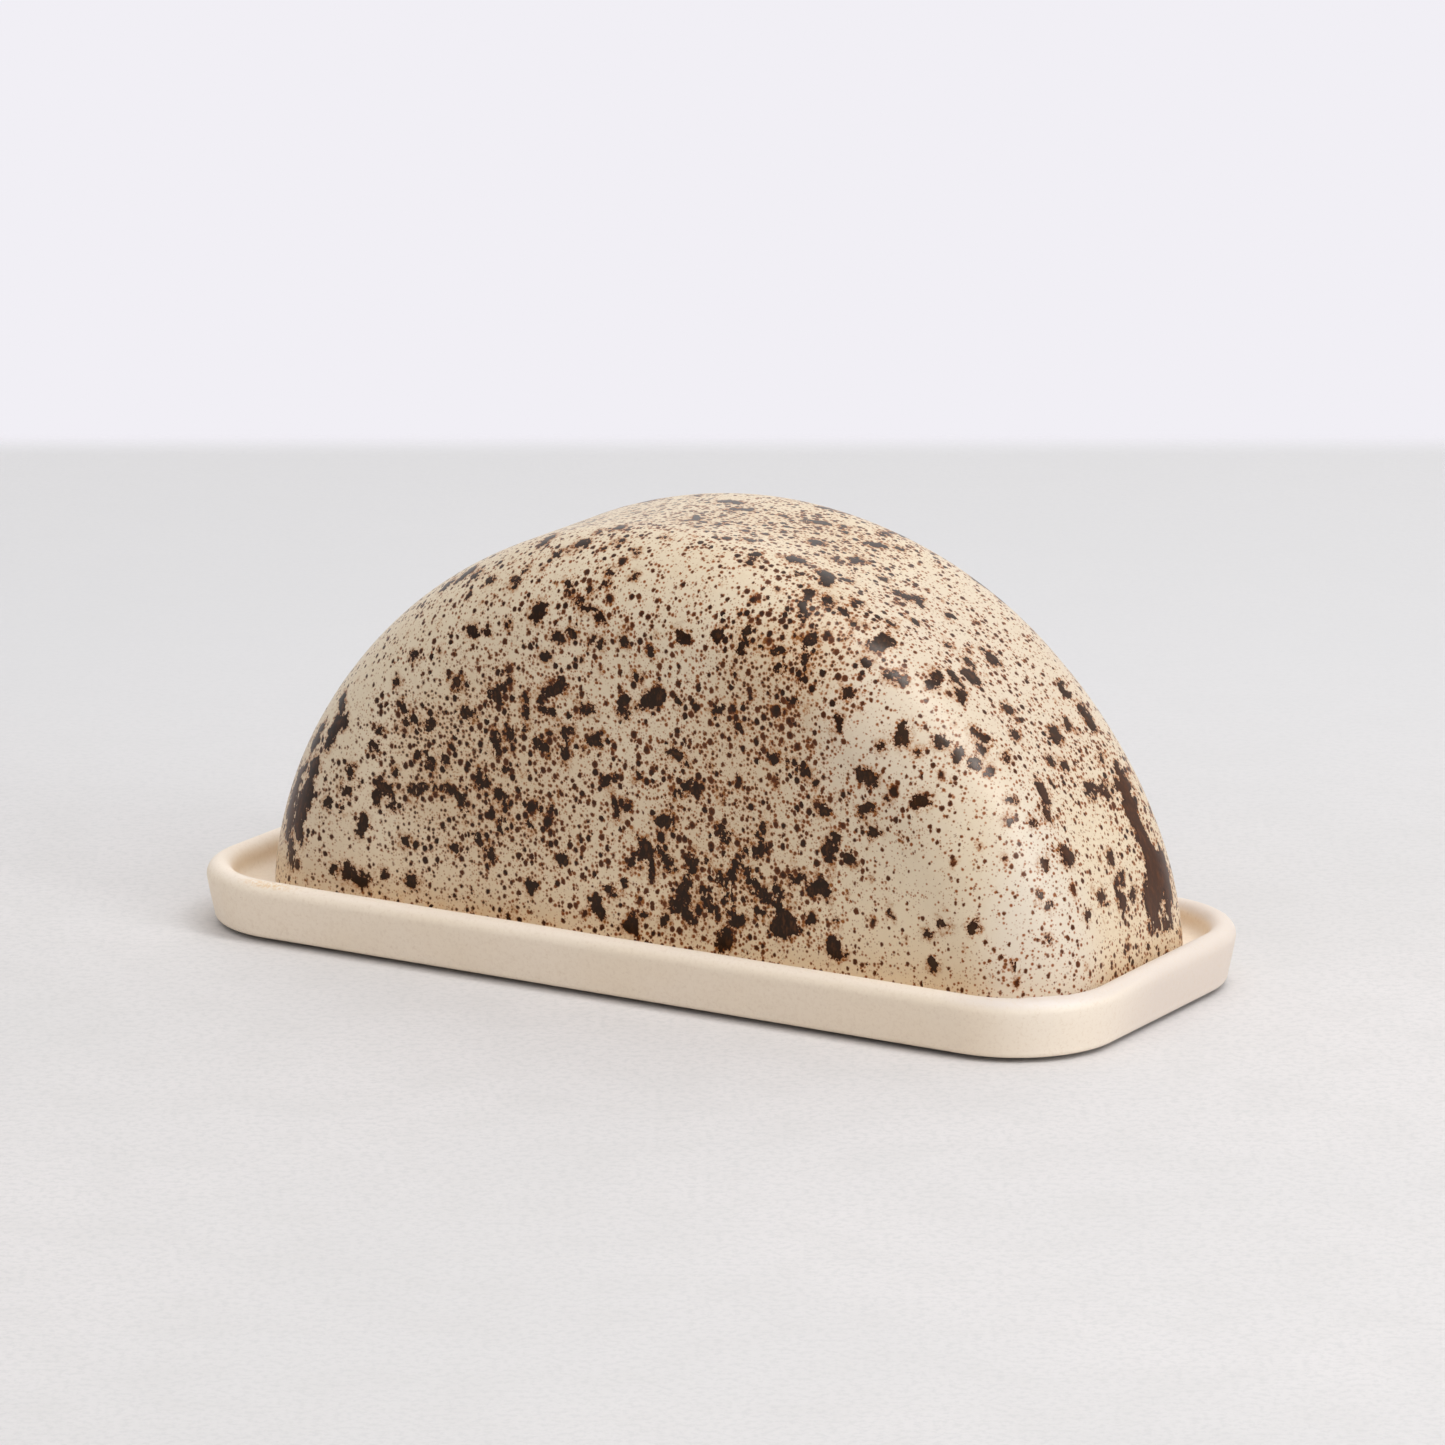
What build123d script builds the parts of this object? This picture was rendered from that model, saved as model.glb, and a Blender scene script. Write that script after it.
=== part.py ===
from build123d import *
import os

# Lidded butter dish: a half-moon glazed cover that stands loose in the well
# of a long shallow tray.  Millimetres, +Z up, +X along the length.
# Origin: centre of the tray's footprint, on the surface the foot ring
# stands on.

# ---------------------------------------------------------------- tray
TRAY_LENGTH = 210.0        # over the rim, along X
TRAY_WIDTH = 90.0          # over the rim, along Y
TRAY_CORNER_R = 23.5       # plan radius of the outer corners
RIM_HEIGHT = 13.0          # top of the rounded rim
RIM_THICKNESS = 5.6        # the rim is a full round of this width
WALL_LEAN = 1.5            # the outer wall leans out this much on its way up
HEEL_RADIUS = 1.4          # soft lower outside edge
HEEL_GAP = 0.9             # height of the heel above the table
FLOOR_Z = 7.5              # flat floor of the well
COVE_RADIUS = 2.2          # hollow corner between floor and rim
FOOT_OUT = 7.0             # foot ring, distance in from the rim's outside
FOOT_WIDTH = 4.0
RECESS_Z = 1.0             # underside inside the foot ring
BAND = 16.0                # width of the swept edge band

# ---------------------------------------------------------------- cover
COVER_HALF_LENGTH = 95.0   # at the lip
COVER_HALF_WIDTH = 34.6
COVER_HEIGHT = 84.0        # lip to crown
COVER_EDGE_R = 19.6        # rounding of the arch edges, and plan corner radius
COVER_WALL = 4.0
ARCH_P = 2.026             # |x/a|^p + |z/h|^q = 1
ARCH_Q = 1.734
LIP_R = 0.9                # small rounding on both edges of the lip
COVER_X = 1.8              # the loose cover stands this far off centre
SEAT_GAP = 0.0             # the lip rests on the floor of the well


def make_tray():
    t = RIM_THICKNESS
    r = t / 2.0
    zc = RIM_HEIGHT - r                       # centre of the rim's round
    heel = HEEL_GAP + HEEL_RADIUS
    foot_in = FOOT_OUT + FOOT_WIDTH

    # Section of the edge band: u is the distance in from the rim's outside.
    def v(u, z):
        return Vector(0, -TRAY_WIDTH / 2.0 + u, z)

    s = 0.7071067811865476
    edges = [
        Line(v(BAND, RECESS_Z), v(foot_in + 1.2, RECESS_Z)),
        Line(v(foot_in + 1.2, RECESS_Z), v(foot_in, 0.0)),
        Line(v(foot_in, 0.0), v(FOOT_OUT, 0.0)),
        Line(v(FOOT_OUT, 0.0), v(FOOT_OUT - 0.8, HEEL_GAP)),
        Line(v(FOOT_OUT - 0.8, HEEL_GAP), v(WALL_LEAN + HEEL_RADIUS, HEEL_GAP)),
        ThreePointArc(
            v(WALL_LEAN + HEEL_RADIUS, HEEL_GAP),
            v(WALL_LEAN + HEEL_RADIUS * (1 - s), HEEL_GAP + HEEL_RADIUS * (1 - s)),
            v(WALL_LEAN, heel),
        ),
        Line(v(WALL_LEAN, heel), v(0.0, zc)),
        ThreePointArc(v(0.0, zc), v(r, RIM_HEIGHT), v(t, zc)),
        Line(v(t, zc), v(t, FLOOR_Z + COVE_RADIUS)),
        ThreePointArc(
            v(t, FLOOR_Z + COVE_RADIUS),
            v(t + COVE_RADIUS * (1 - s), FLOOR_Z + COVE_RADIUS * (1 - s)),
            v(t + COVE_RADIUS, FLOOR_Z),
        ),
        Line(v(t + COVE_RADIUS, FLOOR_Z), v(BAND, FLOOR_Z)),
        Line(v(BAND, FLOOR_Z), v(BAND, RECESS_Z)),
    ]
    section = Face(Wire(edges))

    # Four straight runs and four quarter turns of the same section.
    lx = TRAY_LENGTH / 2.0 - TRAY_CORNER_R
    ly = TRAY_WIDTH / 2.0 - TRAY_CORNER_R
    run_x = extrude(section, amount=2 * lx, dir=(1, 0, 0)).moved(Location((-lx, 0, 0)))
    # quarter turn about the corner centre (lx, -ly)
    turn = revolve(
        section.moved(Location((lx, 0, 0))),
        axis=Axis((lx, -ly, 0), (0, 0, 1)),
        revolution_arc=90,
    )
    # the short sides: the section turned to face +X
    side = section.moved(Location((0, TRAY_WIDTH / 2.0, 0)))
    side = side.rotate(Axis.Z, 90).moved(Location((TRAY_LENGTH / 2.0, -ly, 0)))
    run_y = extrude(side, amount=2 * ly, dir=(0, 1, 0))

    pieces = [run_x, run_x.rotate(Axis.Z, 180), run_y, run_y.rotate(Axis.Z, 180)]
    turn2 = turn.mirror(Plane.XZ)
    pieces += [turn, turn2, turn.rotate(Axis.Z, 180), turn2.rotate(Axis.Z, 180)]

    # the middle of the floor slab
    core = extrude(
        Plane.XY.offset(RECESS_Z)
        * RectangleRounded(
            TRAY_LENGTH - 2 * BAND, TRAY_WIDTH - 2 * BAND, TRAY_CORNER_R - BAND
        ),
        amount=FLOOR_Z - RECESS_Z,
    )
    body = core
    for p in pieces:
        body = body + p
    return body.clean()


def arch_face(a, h, drop):
    """Half-moon face in the XZ plane, carried on below z = 0 by drop."""
    heights = [0.05, 0.11, 0.20, 0.31, 0.43, 0.55, 0.66, 0.76, 0.85, 0.92, 0.97]
    right = [(a, -drop), (a, 0.0)]
    for k in heights:
        right.append((a * (1.0 - k ** ARCH_Q) ** (1.0 / ARCH_P), h * k))
    pts = [Vector(x, 0, z) for x, z in right]
    pts.append(Vector(0, 0, h))
    pts += [Vector(-x, 0, z) for x, z in reversed(right)]
    arch = Spline(pts)
    base = Line(Vector(-a, 0, -drop), Vector(a, 0, -drop))
    return Face(Wire(arch.edges() + base.edges()))


def half_moon(a, b, h, edge_r, drop=8.0):
    """Solid arch, its two arch edges rounded, cut off flat at z = 0."""
    body = extrude(arch_face(a, h, drop), amount=b, dir=(0, 1, 0), both=True)
    rims = [
        e for e in body.edges()
        if abs(abs(e.center().Y) - b) < 1e-3 and e.bounding_box().max.Z > -drop + 1e-3
    ]
    body = fillet(rims, radius=edge_r)
    cut = Pos(0, 0, -drop) * Box(4 * a, 4 * b, 2 * drop)
    return body - cut


def make_cover():
    w = COVER_WALL
    outer = half_moon(COVER_HALF_LENGTH, COVER_HALF_WIDTH, COVER_HEIGHT, COVER_EDGE_R)
    inner = half_moon(
        COVER_HALF_LENGTH - w, COVER_HALF_WIDTH - w, COVER_HEIGHT - w, COVER_EDGE_R - w
    )
    shell = outer - inner
    lip = shell.faces().sort_by(Axis.Z)[0]
    try:
        shell = fillet(lip.edges(), radius=LIP_R)
    except Exception:
        shell = chamfer(lip.edges(), length=LIP_R * 0.7)
    return Pos(COVER_X, 0, FLOOR_Z + SEAT_GAP) * shell


tray = make_tray()
cover = make_cover()

os.makedirs("parts", exist_ok=True)
export_step(tray, "parts/tray.step")
export_step(cover, "parts/cover.step")

for name, shape in (("tray", tray), ("cover", cover)):
    bb = shape.bounding_box()
    print(name, len(shape.solids()), round(shape.volume, 1), bb.min, bb.max)
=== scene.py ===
import math

import bpy
import numpy as np
from mathutils import Matrix, Vector


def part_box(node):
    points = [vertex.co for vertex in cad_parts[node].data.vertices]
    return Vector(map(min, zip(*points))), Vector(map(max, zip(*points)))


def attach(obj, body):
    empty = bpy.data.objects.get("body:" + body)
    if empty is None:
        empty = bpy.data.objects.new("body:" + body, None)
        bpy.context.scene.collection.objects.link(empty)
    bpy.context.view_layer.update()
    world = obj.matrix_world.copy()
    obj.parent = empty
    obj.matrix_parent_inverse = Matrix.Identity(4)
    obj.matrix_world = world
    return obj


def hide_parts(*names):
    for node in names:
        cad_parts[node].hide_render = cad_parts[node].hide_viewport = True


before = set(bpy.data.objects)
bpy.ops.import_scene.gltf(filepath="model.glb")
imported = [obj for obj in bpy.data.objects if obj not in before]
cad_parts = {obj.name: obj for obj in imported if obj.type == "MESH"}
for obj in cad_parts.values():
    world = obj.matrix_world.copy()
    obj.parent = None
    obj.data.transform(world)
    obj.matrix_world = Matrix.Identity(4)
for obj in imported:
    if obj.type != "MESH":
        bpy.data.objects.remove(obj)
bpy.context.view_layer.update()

rng = np.random.RandomState(7)
MM = 0.001

# --------------------------------------------------------------------------
# Sizes in millimetres, the same as the CAD part's, placed by the CAD boxes.
# --------------------------------------------------------------------------
tray_lo, tray_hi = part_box("tray")
cover_lo, cover_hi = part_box("cover")
TL = (tray_hi.x - tray_lo.x) / MM          # tray length
TW = (tray_hi.y - tray_lo.y) / MM          # tray width
RIM_Z = tray_hi.z / MM                     # top of the rim
SEAT_Z = cover_lo.z / MM                   # floor of the well
CX = (cover_lo.x + cover_hi.x) / 2 / MM    # the cover stands a little off centre
HALF_L = 95.0
HALF_W = (cover_hi.y - cover_lo.y) / 2 / MM
HEIGHT = (cover_hi.z - cover_lo.z) / MM
EDGE_R = 19.6
WALL = 4.0
ARCH_P, ARCH_Q = 2.026, 1.734
LIP = 1.2


# --------------------------------------------------------------------------
# Small tools
# --------------------------------------------------------------------------
def smoothstep(a, b, x):
    t = np.clip((x - a) / (b - a), 0.0, 1.0)
    return t * t * (3 - 2 * t)


def lattice_noise(p, seed):
    """Value noise on a unit lattice, smooth, about -1..1. p is (n, 3)."""
    r = np.random.RandomState(seed)
    table = r.rand(4096) * 2 - 1
    perm = r.permutation(4096)
    i = np.floor(p).astype(np.int64)
    f = p - i
    f = f * f * f * (f * (f * 6 - 15) + 10)
    out = np.zeros(len(p))
    for dx in (0, 1):
        for dy in (0, 1):
            for dz in (0, 1):
                h = perm[(i[:, 0] + dx) & 4095]
                h = perm[(h + i[:, 1] + dy) & 4095]
                h = perm[(h + i[:, 2] + dz) & 4095]
                w = (
                    (f[:, 0] if dx else 1 - f[:, 0])
                    * (f[:, 1] if dy else 1 - f[:, 1])
                    * (f[:, 2] if dz else 1 - f[:, 2])
                )
                out += w * table[h]
    return out


def make_mesh(name, verts, faces, attrs=None):
    """verts in mm, faces as index lists; smooth shaded; attrs are per-vertex floats."""
    me = bpy.data.meshes.new(name)
    sizes = np.array([len(f) for f in faces], np.int32)
    loops = np.concatenate([np.asarray(f, np.int32) for f in faces])
    me.vertices.add(len(verts))
    me.vertices.foreach_set("co", (np.asarray(verts) * MM).astype(np.float32).ravel())
    me.loops.add(len(loops))
    me.loops.foreach_set("vertex_index", loops)
    me.polygons.add(len(faces))
    starts = np.concatenate([[0], np.cumsum(sizes)[:-1]]).astype(np.int32)
    me.polygons.foreach_set("loop_start", starts)
    me.polygons.foreach_set("use_smooth", np.ones(len(faces), bool))
    me.update(calc_edges=True)
    for key, vals in (attrs or {}).items():
        a = me.attributes.new(key, "FLOAT", "POINT")
        a.data.foreach_set("value", np.asarray(vals, np.float32))
    me.validate()
    ob = bpy.data.objects.new(name, me)
    bpy.context.scene.collection.objects.link(ob)
    return ob


class Builder:
    """Collects vertices and faces of one closed skin."""

    def __init__(self):
        self.v, self.n, self.f, self.count = [], [], [], 0

    def add(self, pts, nrm):
        idx = np.arange(self.count, self.count + len(pts))
        self.v.append(np.asarray(pts, float))
        self.n.append(np.asarray(nrm, float))
        self.count += len(pts)
        return idx

    def grid(self, idx, flip=False):
        """idx is a 2-D array of vertex indices."""
        a, b, c, d = idx[:-1, :-1], idx[1:, :-1], idx[1:, 1:], idx[:-1, 1:]
        q = np.stack([a, b, c, d], -1).reshape(-1, 4)
        if flip:
            q = q[:, ::-1]
        self.f.extend(q.tolist())

    def zipper(self, A, B, pa, pb, flip=False):
        """Triangles between two closed loops with different counts."""
        A, B = list(A), list(B)
        # start B at its vertex nearest A[0]
        k = int(np.argmin(((pb - pa[0]) ** 2).sum(1)))
        B = B[k:] + B[:k]
        pb = np.concatenate([pb[k:], pb[:k]])
        i = j = 0
        na, nb = len(A), len(B)
        while i < na or j < nb:
            a0, b0 = A[i % na], B[j % nb]
            da = ((pa[(i + 1) % na] - pb[j % nb]) ** 2).sum() if i < na else 1e18
            db = ((pb[(j + 1) % nb] - pa[i % na]) ** 2).sum() if j < nb else 1e18
            if da <= db:
                t = [a0, A[(i + 1) % na], b0]
                i += 1
            else:
                t = [a0, B[(j + 1) % nb], b0]
                j += 1
            self.f.append(t[::-1] if flip else t)

    def arrays(self):
        return np.concatenate(self.v), np.concatenate(self.n)

    def outward(self, V, Nm):
        """The faces, each wound so that it faces the way its vertices' normals point."""
        f = np.array([q if len(q) == 4 else list(q) + [q[2]] for q in self.f])
        a, b, c, d = (V[f[:, k]] for k in range(4))
        n = np.cross(c - a, d - b)
        tri = f[:, 2] == f[:, 3]
        n[tri] = np.cross(b[tri] - a[tri], c[tri] - a[tri])
        turn = (n * (Nm[f[:, 0]] + Nm[f[:, 1]] + Nm[f[:, 2]])).sum(1) < 0
        return [q[::-1] if t else q for q, t in zip(self.f, turn)]


def coons(left, top, right, bottom, relax=80):
    """Grid filled between four boundary curves (2-D points).
    left and right run upwards, bottom and top run left to right."""
    nv, nu = len(left) - 1, len(top) - 1
    u = np.linspace(0, 1, nu + 1)[None, :, None]
    v = np.linspace(0, 1, nv + 1)[:, None, None]
    g = (
        (1 - u) * left[:, None] + u * right[:, None]
        + (1 - v) * bottom[None] + v * top[None]
        - (1 - u) * (1 - v) * bottom[0] - u * (1 - v) * bottom[-1]
        - (1 - u) * v * top[0] - u * v * top[-1]
    )
    for _ in range(relax):
        g[1:-1, 1:-1] = 0.25 * (g[:-2, 1:-1] + g[2:, 1:-1] + g[1:-1, :-2] + g[1:-1, 2:])
    return g


# --------------------------------------------------------------------------
# Cover: a half-moon shell
# --------------------------------------------------------------------------
def arch(a, h, m, ins_mid):
    """m + 1 points and normals on the arch, evenly spaced on its curve at depth ins_mid."""
    th = np.linspace(0, np.pi, 6001)
    c, s = np.cos(th), np.clip(np.sin(th), 0, 1)
    x = -a * np.sign(c) * np.abs(c) ** (2 / ARCH_P)
    z = h * s ** (2 / ARCH_Q)
    z[0] = z[-1] = 0.0
    nx = np.sign(x) * ARCH_P / a * np.abs(x / a) ** (ARCH_P - 1)
    nz = ARCH_Q / h * (z / h) ** (ARCH_Q - 1)
    ln = np.hypot(nx, nz)
    nx, nz = nx / ln, nz / ln
    mx, mz = x - nx * ins_mid, z - nz * ins_mid
    step = np.hypot(np.diff(mx), np.diff(mz))
    cum = np.concatenate([[0], np.cumsum(step)])
    want = np.linspace(0, cum[-1], m + 1)
    px, pz = np.interp(want, cum, x), np.interp(want, cum, z)
    qx, qz = np.interp(want, cum, nx), np.interp(want, cum, nz)
    ql = np.hypot(qx, qz)
    return np.stack([px, pz], 1), np.stack([qx / ql, qz / ql], 1)


def half_moon(bld, a, b, h, r, base_z, nu, nv, n_round, n_mid, flip):
    """Adds the skin of a half-moon. Returns the vertex indices of its open base loop."""
    m = nu + 2 * nv
    P, Nn = arch(a, h, m, r * 0.45)
    # across the thickness, from the front face's edge to the back face's edge
    rows = []
    for k in range(n_round + 1):
        al = math.pi / 2 * (1 - k / n_round)
        rows.append((r * (1 - math.cos(al)), -(b - r) - r * math.sin(al), math.cos(al), -math.sin(al)))
    for k in range(1, n_mid):
        rows.append((0.0, -(b - r) + 2 * (b - r) * k / n_mid, 1.0, 0.0))
    for k in range(n_round + 1):
        al = math.pi / 2 * k / n_round
        rows.append((r * (1 - math.cos(al)), (b - r) + r * math.sin(al), math.cos(al), math.sin(al)))
    squash = (h - base_z) / h
    strip = []
    for ins, y, cn, sn in rows:
        x = P[:, 0] - Nn[:, 0] * ins
        z = np.maximum(P[:, 1] - Nn[:, 1] * ins, 0.0)
        z[0] = z[-1] = 0.0
        z = base_z + z * squash
        pts = np.stack([x, np.full(m + 1, y), z], 1)
        nrm = np.stack([Nn[:, 0] * cn, np.full(m + 1, sn), Nn[:, 1] * cn], 1)
        strip.append(bld.add(pts, nrm))
    strip = np.array(strip)
    bld.grid(strip, flip)
    faces = {}
    for side, row, y in ((-1, strip[0], -b), (1, strip[-1], b)):
        ins = r
        x = P[:, 0] - Nn[:, 0] * ins
        z = np.maximum(P[:, 1] - Nn[:, 1] * ins, 0.0)
        z[0] = z[-1] = 0.0
        edge = np.stack([x, z], 1)
        left = edge[: nv + 1]
        top = edge[nv : nv + nu + 1]
        right = edge[nv + nu :][::-1]
        bottom = np.stack([np.linspace(x[0], x[-1], nu + 1), np.zeros(nu + 1)], 1)
        g = coons(left, top, right, bottom)
        idx = np.zeros((nv + 1, nu + 1), np.int64)
        idx[:, 0] = row[: nv + 1]
        idx[nv, :] = row[nv : nv + nu + 1]
        idx[:, nu] = row[nv + nu :][::-1]
        mask = np.zeros((nv + 1, nu + 1), bool)
        mask[0, 1:-1] = True
        mask[1:-1, 1:-1] = True
        q = g[mask]
        pts = np.stack([q[:, 0], np.full(len(q), y), base_z + q[:, 1] * squash], 1)
        nrm = np.tile([0.0, float(side), 0.0], (len(q), 1))
        idx[mask] = bld.add(pts, nrm)
        bld.grid(idx, flip if side > 0 else not flip)
        faces[side] = idx
    # base loop, anticlockwise from above: front line, right end, back line, left end
    front = faces[-1][0]
    back = faces[1][0]
    right = strip[:, -1]
    left = strip[:, 0]
    loop = list(front[:-1]) + list(right[:-1]) + list(back[::-1][:-1]) + list(left[::-1][:-1])
    return np.array(loop)


def build_cover():
    bld = Builder()
    outer = half_moon(bld, HALF_L, HALF_W, HEIGHT, EDGE_R, LIP, 184, 80, 38, 36, False)
    n_outer = bld.count
    V, Nm = bld.arrays()
    base, bn = V[outer], Nm[outer]
    bn = bn * [1, 1, 0]
    bn /= np.linalg.norm(bn, axis=1)[:, None]
    # the lip: outside round, flat foot, inside round
    path = []
    for k in range(1, 6):
        t = math.pi / 2 * k / 5
        path.append((LIP * (1 - math.cos(t)), LIP * (1 - math.sin(t)), math.cos(t), -math.sin(t)))
    path.append((WALL / 2, 0.0, 0.0, -1.0))
    for k in range(0, 6):
        t = math.pi / 2 * k / 5
        path.append((WALL - LIP + LIP * math.sin(t), LIP * (1 - math.cos(t)), -math.sin(t), -math.cos(t)))
    prev = outer
    last = None
    for ins, z, cn, sn in path:
        pts = base - bn * ins
        pts[:, 2] = z
        nrm = bn * cn
        nrm[:, 2] = sn
        cur = bld.add(pts, nrm)
        ring = np.stack([np.append(prev, prev[0]), np.append(cur, cur[0])])
        bld.grid(ring, True)
        prev, last = cur, pts
    lip_end = bld.count
    # inside
    inner = half_moon(
        bld, HALF_L - WALL, HALF_W - WALL, HEIGHT - WALL, EDGE_R - WALL, LIP + 2.4, 62, 27, 11, 12, True
    )
    V, Nm = bld.arrays()
    bld.zipper(prev, inner, last, V[inner], True)
    Nm[lip_end:] *= -1
    return bld, V, Nm, n_outer, lip_end


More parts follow.
